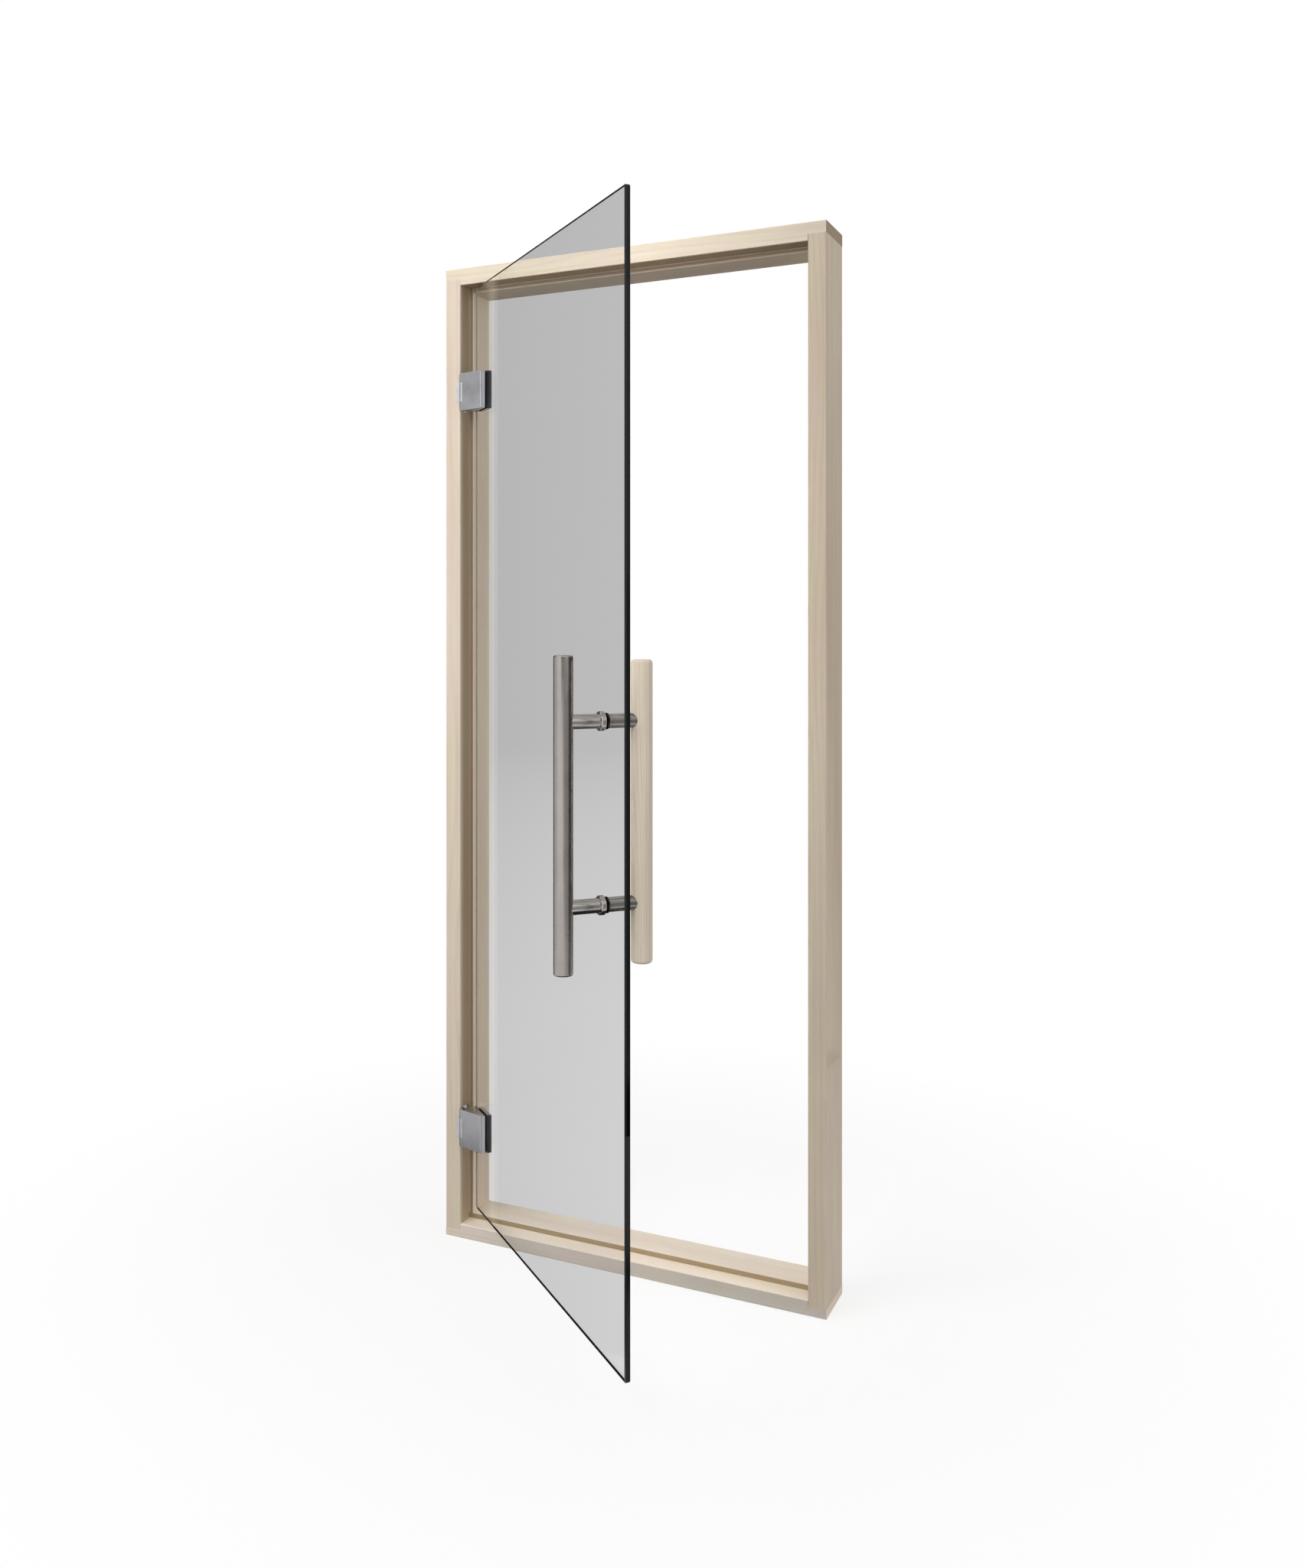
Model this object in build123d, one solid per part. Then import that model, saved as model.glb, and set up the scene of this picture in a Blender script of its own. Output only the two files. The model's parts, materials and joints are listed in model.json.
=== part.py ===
"""Sauna door: a rebated timber frame with one leaf of tempered glass, standing ajar.

Millimetres, +Z up. X runs across the doorway and the frame's front faces -Y.
The origin is the middle of the sill's underside. The leaf is modelled shut, in the
plane of the doorway, and then swung open about its hinge pins to its resting angle.
"""
import os
from math import acos, atan2, cos, hypot, sin

from build123d import *

# Frame
FRAME_WIDTH = 800.0
FRAME_HEIGHT = 1990.0
FRAME_DEPTH = 112.0
JAMB_FACE = 34.0          # width of each jamb seen from the front
HEAD_FACE = 34.0          # height of the head rail
SILL_FACE = 28.0          # height of the sill
HOUSING_DEPTH = 12.0      # how far the jamb ends are let into head and sill
TIMBER_ARRIS = 2.0        # rounding of the planed edges

# Stop laths, planted round the inside of the frame behind the leaf
REBATE_DEPTH = 38.0       # from the frame's front to the stops
STOP_HEIGHT = 10.0        # how far a stop stands in from its jamb
SILL_STEP_HEIGHT = 10.0   # raised tread behind the leaf
STOP_ARRIS = 1.5

# Rubber seal, pressed into a groove along each stop
SEAL_GROOVE_WIDTH = 3.0
SEAL_GROOVE_DEPTH = 5.0
SEAL_STEM_CLEARANCE = 0.1
SEAL_CROWN_WIDTH = 6.0
SEAL_CROWN_HEIGHT = 1.2

# Glass leaf
GLASS_THICKNESS = 8.0
GLASS_CORNER = 5.0
GLASS_ARRIS = 0.8
SEAL_CLEARANCE = 5.0      # shut leaf to the crown of the seal
EDGE_CLEARANCE = 5.0      # leaf to the jambs
HEAD_CLEARANCE = 5.0      # leaf to the head rail
FOOT_CLEARANCE = 22.0     # air gap between the leaf and the raised tread
OPEN_ANGLE = 41.0         # how far the leaf stands open at rest

# Hinges, each a wedge-shaped cast clamp on the glass with a knuckle on the jamb
UPPER_HINGE_DROP = 217.0  # from the leaf's top edge to the middle of the hinge
LOWER_HINGE_RISE = 170.0  # from the leaf's foot to the middle of the hinge
HINGE_LENGTH = 60.0       # reach of the clamp over the glass
HINGE_HEIGHT = 76.0
HINGE_END_THICKNESS = 9.0
HINGE_CORNER = 4.0
HINGE_ARRIS = 0.8
BARREL_DIAMETER = 13.0
PIN_DIAMETER = 6.0
PIN_CLEARANCE = 0.2
PIN_HEAD_DIAMETER = 9.0
PIN_HEAD_HEIGHT = 2.0
PIN_FROM_JAMB = 9.0       # pin axis to the face of the rebate
PIN_PROUD = 6.0           # pin axis in front of the frame's front
KNUCKLE_HEIGHT = 40.0
KNUCKLE_GAP = 0.5
KNUCKLE_SWEEP = 1.5       # clear ring round the jamb's knuckle
LUG_THICKNESS = 8.0
JAMB_PLATE_THICKNESS = 3.0
JAMB_PLATE_WIDTH = 34.0
JAMB_PLATE_HEIGHT = 72.0
BACK_PLATE_THICKNESS = 8.0
BACK_PLATE_CLEARANCE = 5.0  # shut back plate to the stop lath
GASKET_THICKNESS = 1.0
CLAMP_POST_DIAMETER = 10.0
CLAMP_POST_SPACING = 40.0
CLAMP_POST_INSET = 25.0   # from the clamp's free end
GLASS_HOLE_DIAMETER = 14.0

# Handle: a steel bar outside and a timber bar inside, on studs through the glass
HANDLE_RISE = 889.0       # from the leaf's foot to the middle of the handle
HANDLE_INSET = 85.0       # from the leaf's leading edge
STANDOFF_SPACING = 300.0
STANDOFF_DIAMETER = 24.0
STUD_DIAMETER = 10.0
STUD_REACH = 12.0         # how far the stud goes into the inner standoff
STUD_CLEARANCE = 0.1
OUTSIDE_BAR_DIAMETER = 32.0
OUTSIDE_BAR_LENGTH = 515.0
OUTSIDE_BAR_WALL = 1.5
OUTSIDE_BAR_OFFSET = 71.5  # bar axis to the outer face of the glass
OUTSIDE_BAR_END = 3.0     # thickness of the discs welded into the tube's ends
OUTSIDE_BAR_ARRIS = 1.2
COLLAR_DIAMETER = 32.0
COLLAR_THICKNESS = 8.0
COLLAR_ARRIS = 1.2
WASHER_DIAMETER = 29.0
WASHER_THICKNESS = 1.5
INNER_WASHER_DIAMETER = 27.0
INSIDE_BAR_DIAMETER = 36.0
INSIDE_BAR_LENGTH = 500.0
INSIDE_BAR_OFFSET = 61.0  # bar axis to the inner face of the glass
INSIDE_BAR_ARRIS = 3.0
SPIGOT_DIAMETER = 8.0
SPIGOT_REACH = 18.0       # how far the spigot goes into the timber bar
SPIGOT_CLEARANCE = 0.1

# Places that follow from the sizes above
FRONT_Y = -FRAME_DEPTH / 2
BACK_Y = FRAME_DEPTH / 2
OUTER_X = FRAME_WIDTH / 2
REBATE_X = OUTER_X - JAMB_FACE
STOP_X = REBATE_X - STOP_HEIGHT
STOP_Y = FRONT_Y + REBATE_DEPTH
HEAD_Z = FRAME_HEIGHT - HEAD_FACE
STEP_Z = SILL_FACE + SILL_STEP_HEIGHT
GLASS_INNER_Y = STOP_Y - SEAL_CROWN_HEIGHT - SEAL_CLEARANCE
GLASS_OUTER_Y = GLASS_INNER_Y - GLASS_THICKNESS
GLASS_EDGE_X = REBATE_X - EDGE_CLEARANCE
GLASS_TOP_Z = HEAD_Z - HEAD_CLEARANCE
GLASS_FOOT_Z = STEP_Z + FOOT_CLEARANCE
LOWER_HINGE_Z = GLASS_FOOT_Z + LOWER_HINGE_RISE
UPPER_HINGE_Z = GLASS_TOP_Z - UPPER_HINGE_DROP
HANDLE_Z = GLASS_FOOT_Z + HANDLE_RISE
PIN_X = -REBATE_X + PIN_FROM_JAMB
PIN_Y = FRONT_Y - PIN_PROUD
CLAMP_END_X = -GLASS_EDGE_X + HINGE_LENGTH
CLAMP_POST_X = CLAMP_END_X - CLAMP_POST_INSET
BACK_PLATE_EDGE_X = -STOP_X + BACK_PLATE_CLEARANCE
HANDLE_X = GLASS_EDGE_X - HANDLE_INSET
OUTSIDE_BAR_Y = GLASS_OUTER_Y - OUTSIDE_BAR_OFFSET
INSIDE_BAR_Y = GLASS_INNER_Y + INSIDE_BAR_OFFSET


def block(x0, x1, y0, y1, z0, z1):
    """A box given by its two corners."""
    centre = ((x0 + x1) / 2, (y0 + y1) / 2, (z0 + z1) / 2)
    return Pos(*centre) * Box(x1 - x0, y1 - y0, z1 - z0)


def rod(x, z, y0, y1, diameter):
    """A round rod along Y, from y0 to y1."""
    length = y1 - y0
    return Pos(x, (y0 + y1) / 2, z) * Rot(X=90) * Cylinder(diameter / 2, length)


def post(x, y, z0, z1, diameter):
    """A round rod along Z, from z0 to z1."""
    return Pos(x, y, (z0 + z1) / 2) * Cylinder(diameter / 2, z1 - z0)


def panel(x0, x1, z0, z1, y0, y1, corner):
    """A flat plate standing in the plane of the door, with rounded corners."""
    outline = RectangleRounded(x1 - x0, z1 - z0, corner)
    face = Plane((0, 0, 0), x_dir=(1, 0, 0), z_dir=(0, 1, 0)) * outline
    return Pos((x0 + x1) / 2, y0, (z0 + z1) / 2) * extrude(face, y1 - y0, dir=(0, 1, 0))


def mirrored(solid):
    """The same piece on the other side of the doorway."""
    return mirror(solid, Plane.YZ)


# Timber frame
def jamb():
    """Plain board on edge, on the hinge side; its ends stand in the head's and sill's housings."""
    board = block(-OUTER_X, -REBATE_X, FRONT_Y, BACK_Y,
                  SILL_FACE - HOUSING_DEPTH, HEAD_Z + HOUSING_DEPTH)
    return fillet(board.edges().filter_by(Axis.Z), TIMBER_ARRIS)


def jamb_housings(z0, z1):
    """The two square trenches that take the jamb ends."""
    trench = block(-OUTER_X, -REBATE_X, FRONT_Y, BACK_Y, z0, z1)
    return trench + mirrored(trench)


def head_rail():
    rail = block(-OUTER_X, OUTER_X, FRONT_Y, BACK_Y, HEAD_Z, FRAME_HEIGHT)
    rail = fillet(rail.edges().filter_by(Axis.X), TIMBER_ARRIS)
    return rail - jamb_housings(HEAD_Z, HEAD_Z + HOUSING_DEPTH)


def sill():
    board = block(-OUTER_X, OUTER_X, FRONT_Y, BACK_Y, 0, SILL_FACE)
    board = fillet(board.edges().filter_by(Axis.X), TIMBER_ARRIS)
    return board - jamb_housings(SILL_FACE - HOUSING_DEPTH, SILL_FACE)


def plate_recess(hinge_z):
    """Shallow recess in the hinge jamb that takes a hinge plate flush."""
    return block(-REBATE_X - JAMB_PLATE_THICKNESS, -REBATE_X + TIMBER_ARRIS,
                 FRONT_Y - TIMBER_ARRIS, FRONT_Y + JAMB_PLATE_WIDTH,
                 hinge_z - JAMB_PLATE_HEIGHT / 2, hinge_z + JAMB_PLATE_HEIGHT / 2)


def side_stop():
    """Upright stop lath on the hinge side, standing on the raised tread."""
    lath = block(-REBATE_X, -STOP_X, STOP_Y, BACK_Y, STEP_Z, HEAD_Z)
    inner_edges = lath.edges().filter_by(Axis.Z).group_by(Axis.X)[-1]
    lath = fillet(inner_edges, STOP_ARRIS)
    middle = -(REBATE_X + STOP_X) / 2
    groove = block(middle - SEAL_GROOVE_WIDTH / 2, middle + SEAL_GROOVE_WIDTH / 2,
                   STOP_Y, STOP_Y + SEAL_GROOVE_DEPTH, STEP_Z, HEAD_Z)
    return lath - groove


def head_stop():
    lath = block(-STOP_X, STOP_X, STOP_Y, BACK_Y, HEAD_Z - STOP_HEIGHT, HEAD_Z)
    lower_edges = lath.edges().filter_by(Axis.X).group_by(Axis.Z)[0]
    lath = fillet(lower_edges, STOP_ARRIS)
    middle = HEAD_Z - STOP_HEIGHT / 2
    groove = block(-STOP_X, STOP_X, STOP_Y, STOP_Y + SEAL_GROOVE_DEPTH,
                   middle - SEAL_GROOVE_WIDTH / 2, middle + SEAL_GROOVE_WIDTH / 2)
    return lath - groove


def sill_step():
    """Raised tread between the jambs, behind the leaf."""
    tread = block(-REBATE_X, REBATE_X, STOP_Y, BACK_Y, SILL_FACE, STEP_Z)
    upper_edges = tread.edges().filter_by(Axis.X).group_by(Axis.Z)[-1]
    return fillet(upper_edges, STOP_ARRIS)


def seal_section():
    """Seal in section: a low crown towards -Y and a stem towards +Y, centred on X."""
    half = SEAL_CROWN_WIDTH / 2
    crown_arc = ThreePointArc((-half, 0), (0, -SEAL_CROWN_HEIGHT), (half, 0))
    crown = make_face(crown_arc + Line((half, 0), (-half, 0)))
    stem_width = SEAL_GROOVE_WIDTH - 2 * SEAL_STEM_CLEARANCE
    stem_depth = SEAL_GROOVE_DEPTH - SEAL_STEM_CLEARANCE
    stem = Pos(0, stem_depth / 2) * Rectangle(stem_width, stem_depth)
    return crown + stem


def side_seal():
    strip = extrude(seal_section(), HEAD_Z - STEP_Z)
    return Pos(-(REBATE_X + STOP_X) / 2, STOP_Y, STEP_Z) * strip


def head_seal():
    strip = extrude(seal_section(), 2 * STOP_X)
    return Pos(-STOP_X, STOP_Y, HEAD_Z - STOP_HEIGHT / 2) * Rot(Y=90) * strip


# Leaf
def standoff_heights():
    return [HANDLE_Z - STANDOFF_SPACING / 2, HANDLE_Z + STANDOFF_SPACING / 2]


def clamp_post_heights(hinge_z):
    return [hinge_z - CLAMP_POST_SPACING / 2, hinge_z + CLAMP_POST_SPACING / 2]


def glass_leaf():
    """Sheet of tempered glass with ground edges, drilled for the hinges and the handle."""
    sheet = panel(-GLASS_EDGE_X, GLASS_EDGE_X, GLASS_FOOT_Z, GLASS_TOP_Z,
                  GLASS_OUTER_Y, GLASS_INNER_Y, GLASS_CORNER)
    rims = sheet.faces().filter_by(Axis.Y).edges()
    sheet = chamfer(rims, GLASS_ARRIS)
    for hinge_z in (LOWER_HINGE_Z, UPPER_HINGE_Z):
        for z in clamp_post_heights(hinge_z):
            sheet -= rod(CLAMP_POST_X, z, GLASS_OUTER_Y, GLASS_INNER_Y, GLASS_HOLE_DIAMETER)
    for z in standoff_heights():
        sheet -= rod(HANDLE_X, z, GLASS_OUTER_Y, GLASS_INNER_Y, GLASS_HOLE_DIAMETER)
    return sheet


# Hinges
def clamp_section():
    """The clamp in plan: round barrel at the pin, falling in a wedge to a thin free end."""
    back_y = GLASS_OUTER_Y - GASKET_THICKNESS
    end_y = back_y - HINGE_END_THICKNESS
    radius = BARREL_DIAMETER / 2
    reach = hypot(CLAMP_END_X - PIN_X, end_y - PIN_Y)
    angle = atan2(end_y - PIN_Y, CLAMP_END_X - PIN_X) - acos(radius / reach)
    tangent = (PIN_X + radius * cos(angle), PIN_Y + radius * sin(angle))
    outline = Polyline(tangent, (CLAMP_END_X, end_y), (CLAMP_END_X, back_y),
                       (-GLASS_EDGE_X, back_y), (-GLASS_EDGE_X, PIN_Y), (PIN_X, PIN_Y), close=True)
    wedge = make_face(outline)
    free_end = wedge.vertices().group_by(Axis.X)[-1]
    wedge = fillet(free_end.sort_by(Axis.Y)[0], HINGE_CORNER)
    return wedge + Pos(PIN_X, PIN_Y) * Circle(radius)


def hinge_clamp(hinge_z):
    """Cast outer half of the hinge, with its two knuckles and two threaded posts."""
    low = hinge_z - HINGE_HEIGHT / 2
    high = hinge_z + HINGE_HEIGHT / 2
    body = Pos(0, 0, low) * extrude(clamp_section(), HINGE_HEIGHT)
    rims = body.edges().group_by(Axis.Z)[0] + body.edges().group_by(Axis.Z)[-1]
    body = chamfer(rims, HINGE_ARRIS)
    notch = KNUCKLE_HEIGHT / 2 + KNUCKLE_GAP
    body -= post(PIN_X, PIN_Y, hinge_z - notch, hinge_z + notch,
                 BARREL_DIAMETER + 2 * KNUCKLE_SWEEP)
    body -= post(PIN_X, PIN_Y, low, high, PIN_DIAMETER + 2 * PIN_CLEARANCE)
    for z in clamp_post_heights(hinge_z):
        body += rod(CLAMP_POST_X, z, GLASS_OUTER_Y - GASKET_THICKNESS,
                    GLASS_INNER_Y + GASKET_THICKNESS, CLAMP_POST_DIAMETER)
    return body


def clamp_sheet(hinge_z, x0, y0, y1):
    """Flat sheet with the clamp's outline, from x0 to its free end."""
    return block(x0, CLAMP_END_X, y0, y1, hinge_z - HINGE_HEIGHT / 2, hinge_z + HINGE_HEIGHT / 2)


def clamp_gasket(hinge_z, x0, y0):
    """Rubber sheet between glass and metal, punched for the posts."""
    y1 = y0 + GASKET_THICKNESS
    sheet = clamp_sheet(hinge_z, x0, y0, y1)
    for z in clamp_post_heights(hinge_z):
        sheet -= rod(CLAMP_POST_X, z, y0, y1, CLAMP_POST_DIAMETER)
    return sheet


def hinge_outer_gasket(hinge_z):
    return clamp_gasket(hinge_z, -GLASS_EDGE_X, GLASS_OUTER_Y - GASKET_THICKNESS)


def hinge_inner_gasket(hinge_z):
    return clamp_gasket(hinge_z, BACK_PLATE_EDGE_X, GLASS_INNER_Y)


def hinge_back_plate(hinge_z):
    """Inner half of the hinge, drawn against the glass by screws into the clamp's posts."""
    y0 = GLASS_INNER_Y + GASKET_THICKNESS
    plate = clamp_sheet(hinge_z, BACK_PLATE_EDGE_X, y0, y0 + BACK_PLATE_THICKNESS)
    rims = plate.faces().sort_by(Axis.Y)[-1].edges()
    return chamfer(rims, HINGE_ARRIS)


def hinge_jamb_plate(hinge_z):
    """Plate let into the jamb, with a lug and knuckle standing in front of the frame."""
    plate_x = -REBATE_X - JAMB_PLATE_THICKNESS
    plate = block(plate_x, -REBATE_X, FRONT_Y, FRONT_Y + JAMB_PLATE_WIDTH,
                  hinge_z - JAMB_PLATE_HEIGHT / 2, hinge_z + JAMB_PLATE_HEIGHT / 2)
    low = hinge_z - KNUCKLE_HEIGHT / 2
    high = hinge_z + KNUCKLE_HEIGHT / 2
    lug_front = PIN_Y - LUG_THICKNESS / 2
    lug_back = PIN_Y + LUG_THICKNESS / 2
    tongue = block(plate_x, -REBATE_X, lug_front, FRONT_Y, low, high)
    lug = block(plate_x, PIN_X, lug_front, lug_back, low, high)
    knuckle = post(PIN_X, PIN_Y, low, high, BARREL_DIAMETER)
    bore = post(PIN_X, PIN_Y, low, high, PIN_DIAMETER + 2 * PIN_CLEARANCE)
    return plate + tongue + lug + knuckle - bore


def hinge_pin(hinge_z):
    """Pin through all three knuckles, with a flat head resting on the top one."""
    low = hinge_z - HINGE_HEIGHT / 2
    high = hinge_z + HINGE_HEIGHT / 2
    head = post(PIN_X, PIN_Y, high, high + PIN_HEAD_HEIGHT, PIN_HEAD_DIAMETER)
    return post(PIN_X, PIN_Y, low, high, PIN_DIAMETER) + head


# Handle
def outside_bar():
    """Satin steel tube, upright, with a disc welded into each end and ground flush."""
    low = HANDLE_Z - OUTSIDE_BAR_LENGTH / 2
    high = HANDLE_Z + OUTSIDE_BAR_LENGTH / 2
    tube = post(HANDLE_X, OUTSIDE_BAR_Y, low, high, OUTSIDE_BAR_DIAMETER)
    tube = chamfer(tube.edges().filter_by(GeomType.CIRCLE), OUTSIDE_BAR_ARRIS)
    return tube - post(HANDLE_X, OUTSIDE_BAR_Y, low + OUTSIDE_BAR_END, high - OUTSIDE_BAR_END,
                       OUTSIDE_BAR_DIAMETER - 2 * OUTSIDE_BAR_WALL)


def outer_standoff(z):
    """Turned in one piece: shank coped to the steel bar, collar at its foot, stud through the glass."""
    foot = GLASS_OUTER_Y - WASHER_THICKNESS
    collar_front = foot - COLLAR_THICKNESS
    stud_end = GLASS_INNER_Y + WASHER_THICKNESS + STUD_REACH
    shank_radius = STANDOFF_DIAMETER / 2
    collar_radius = COLLAR_DIAMETER / 2
    stud_radius = STUD_DIAMETER / 2
    half_section = Polyline((0, OUTSIDE_BAR_Y), (shank_radius, OUTSIDE_BAR_Y),
                            (shank_radius, collar_front), (collar_radius - COLLAR_ARRIS, collar_front),
                            (collar_radius, collar_front + COLLAR_ARRIS), (collar_radius, foot),
                            (stud_radius, foot), (stud_radius, stud_end), (0, stud_end), close=True)
    turned = Pos(HANDLE_X, 0, z) * revolve(make_face(half_section), Axis.Y)
    return turned - post(HANDLE_X, OUTSIDE_BAR_Y, z - STANDOFF_DIAMETER, z + STANDOFF_DIAMETER,
                         OUTSIDE_BAR_DIAMETER)


def washer(z, y0, diameter):
    ring = rod(HANDLE_X, z, y0, y0 + WASHER_THICKNESS, diameter)
    return ring - rod(HANDLE_X, z, y0, y0 + WASHER_THICKNESS, STUD_DIAMETER)


def inner_standoff(z):
    """Rod from the inner washer to the timber bar, screwed on the stud, with a spigot."""
    foot = GLASS_INNER_Y + WASHER_THICKNESS
    shank = rod(HANDLE_X, z, foot, INSIDE_BAR_Y, STANDOFF_DIAMETER)
    shank -= post(HANDLE_X, INSIDE_BAR_Y, z - STANDOFF_DIAMETER, z + STANDOFF_DIAMETER,
                  INSIDE_BAR_DIAMETER)
    bore_end = foot + STUD_REACH + STUD_CLEARANCE
    shank -= rod(HANDLE_X, z, foot, bore_end, STUD_DIAMETER + 2 * STUD_CLEARANCE)
    spigot_end = INSIDE_BAR_Y - INSIDE_BAR_DIAMETER / 2 + SPIGOT_REACH
    return shank + rod(HANDLE_X, z, bore_end, spigot_end, SPIGOT_DIAMETER)


def inside_bar():
    """Round timber bar with softened ends, bored for the two spigots."""
    low = HANDLE_Z - INSIDE_BAR_LENGTH / 2
    high = HANDLE_Z + INSIDE_BAR_LENGTH / 2
    bar = post(HANDLE_X, INSIDE_BAR_Y, low, high, INSIDE_BAR_DIAMETER)
    bar = chamfer(bar.edges().filter_by(GeomType.CIRCLE), INSIDE_BAR_ARRIS)
    face_y = INSIDE_BAR_Y - INSIDE_BAR_DIAMETER / 2
    for z in standoff_heights():
        bar -= rod(HANDLE_X, z, face_y, face_y + SPIGOT_REACH + SPIGOT_CLEARANCE,
                   SPIGOT_DIAMETER + 2 * SPIGOT_CLEARANCE)
    return bar


def frame_parts():
    """Everything fixed to the wall."""
    plain_jamb = jamb()
    hinge_jamb = plain_jamb
    for hinge_z in (LOWER_HINGE_Z, UPPER_HINGE_Z):
        hinge_jamb -= plate_recess(hinge_z)
    parts = {
        "hinge_jamb": hinge_jamb,
        "latch_jamb": mirrored(plain_jamb),
        "head_rail": head_rail(),
        "sill": sill(),
        "sill_step": sill_step(),
        "hinge_stop": side_stop(),
        "latch_stop": mirrored(side_stop()),
        "head_stop": head_stop(),
        "hinge_seal": side_seal(),
        "latch_seal": mirrored(side_seal()),
        "head_seal": head_seal(),
    }
    for level, hinge_z in (("lower", LOWER_HINGE_Z), ("upper", UPPER_HINGE_Z)):
        parts[level + "_hinge_jamb_plate"] = hinge_jamb_plate(hinge_z)
        parts[level + "_hinge_pin"] = hinge_pin(hinge_z)
    return parts


def leaf_parts():
    """Everything that swings, modelled shut."""
    parts = {
        "glass_leaf": glass_leaf(),
        "outside_bar": outside_bar(),
        "inside_bar": inside_bar(),
    }
    for level, hinge_z in (("lower", LOWER_HINGE_Z), ("upper", UPPER_HINGE_Z)):
        parts[level + "_hinge_clamp"] = hinge_clamp(hinge_z)
        parts[level + "_hinge_back_plate"] = hinge_back_plate(hinge_z)
        parts[level + "_hinge_outer_gasket"] = hinge_outer_gasket(hinge_z)
        parts[level + "_hinge_inner_gasket"] = hinge_inner_gasket(hinge_z)
    for level, z in zip(("lower", "upper"), standoff_heights()):
        parts[level + "_outer_standoff"] = outer_standoff(z)
        parts[level + "_outer_washer"] = washer(z, GLASS_OUTER_Y - WASHER_THICKNESS, WASHER_DIAMETER)
        parts[level + "_inner_washer"] = washer(z, GLASS_INNER_Y, INNER_WASHER_DIAMETER)
        parts[level + "_inner_standoff"] = inner_standoff(z)
    return parts


def swung_open(solid):
    """Turn a piece of the shut leaf about the hinge pins to its resting angle."""
    return Pos(PIN_X, PIN_Y) * Rot(Z=-OPEN_ANGLE) * Pos(-PIN_X, -PIN_Y) * solid


os.makedirs("parts", exist_ok=True)
nodes = frame_parts()
for name, solid in leaf_parts().items():
    nodes[name] = swung_open(solid)
for name, solid in nodes.items():
    export_step(solid, "parts/" + name + ".step")
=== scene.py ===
# Sauna door standing ajar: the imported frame, dressed in metres and in the same frame.
import json
import math

import bmesh
import bpy
from mathutils import Matrix, Vector


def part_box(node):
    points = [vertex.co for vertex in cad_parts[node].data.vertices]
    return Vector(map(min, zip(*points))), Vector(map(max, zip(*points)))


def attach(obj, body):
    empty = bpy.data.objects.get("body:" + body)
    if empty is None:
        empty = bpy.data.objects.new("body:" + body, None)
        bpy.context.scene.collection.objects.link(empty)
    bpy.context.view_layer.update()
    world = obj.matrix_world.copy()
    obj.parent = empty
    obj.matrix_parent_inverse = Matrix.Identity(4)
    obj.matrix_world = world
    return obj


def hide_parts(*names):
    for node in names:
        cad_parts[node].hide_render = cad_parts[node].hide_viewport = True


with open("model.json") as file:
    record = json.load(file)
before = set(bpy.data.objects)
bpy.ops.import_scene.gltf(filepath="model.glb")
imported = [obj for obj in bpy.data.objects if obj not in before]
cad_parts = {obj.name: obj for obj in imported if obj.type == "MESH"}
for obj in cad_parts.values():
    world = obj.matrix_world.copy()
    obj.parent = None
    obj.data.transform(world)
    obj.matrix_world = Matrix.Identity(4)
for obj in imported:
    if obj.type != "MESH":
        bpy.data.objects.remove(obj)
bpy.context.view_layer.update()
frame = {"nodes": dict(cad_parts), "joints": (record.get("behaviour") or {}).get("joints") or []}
node = frame["nodes"]
X, Y, Z = range(3)


# Timber frame: two jambs housed into a head rail and a sill.
# Pale planed aspen, left untreated; each board is sawn from another part of the log,
# so its growth rings circle a pith of its own that lies outside the board.
def put(tree, kind, inputs=None, **settings):
    """One shader node, with its settings and its sockets filled or wired."""
    made = tree.nodes.new(kind)
    for key, value in settings.items():
        setattr(made, key, value)
    for socket, value in (inputs or {}).items():
        if isinstance(value, bpy.types.NodeSocket):
            tree.links.new(value, made.inputs[socket])
        else:
            made.inputs[socket].default_value = value
    return made


def new_finish(name):
    """An empty material, its tree and its output."""
    material = bpy.data.materials.new(name)
    material.use_nodes = True
    tree = material.node_tree
    tree.nodes.clear()
    return material, tree, put(tree, "ShaderNodeOutputMaterial")


def calculate(tree, operation, *values, **settings):
    """One step of arithmetic on sockets and numbers."""
    made = put(tree, "ShaderNodeMath", dict(enumerate(values)), operation=operation, **settings)
    return made.outputs[0]


def calculate_vector(tree, operation, *values):
    """Both outputs, Vector and Value, of one step of vector arithmetic."""
    return put(tree, "ShaderNodeVectorMath", dict(enumerate(values)), operation=operation).outputs


def remap(tree, value, low, high, to_low=0.0, to_high=1.0, **settings):
    """A value moved from one range to another, and held within it."""
    made = put(tree, "ShaderNodeMapRange", {0: value, 1: low, 2: high, 3: to_low, 4: to_high}, **settings)
    return made.outputs[0]


def mix_colours(tree, factor, first, second, **settings):
    """A colour between two others."""
    made = put(tree, "ShaderNodeMix", {0: factor, 6: first, 7: second}, data_type="RGBA", **settings)
    return made.outputs[2]


def stretched_noise(tree, vector, scale, stretch, detail=2.0):
    """Noise drawn out along the third axis of the vector."""
    drawn = calculate_vector(tree, "MULTIPLY", vector, (1, 1, stretch))["Vector"]
    grain = put(tree, "ShaderNodeTexNoise",
                {"Vector": drawn, "Scale": scale, "Detail": detail, "Roughness": 0.55})
    return grain.outputs[0]


def ramp(tree, factor, *stops):
    """Colour ramp through (place, grey level) stops."""
    made = put(tree, "ShaderNodeValToRGB", {0: factor})
    points = made.color_ramp.elements
    while len(points) < len(stops):
        points.new(0.5)
    for point, (place, level) in zip(points, stops):
        point.position = place
        point.color = (level, level, level, 1)
    return made.outputs[0]


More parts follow.
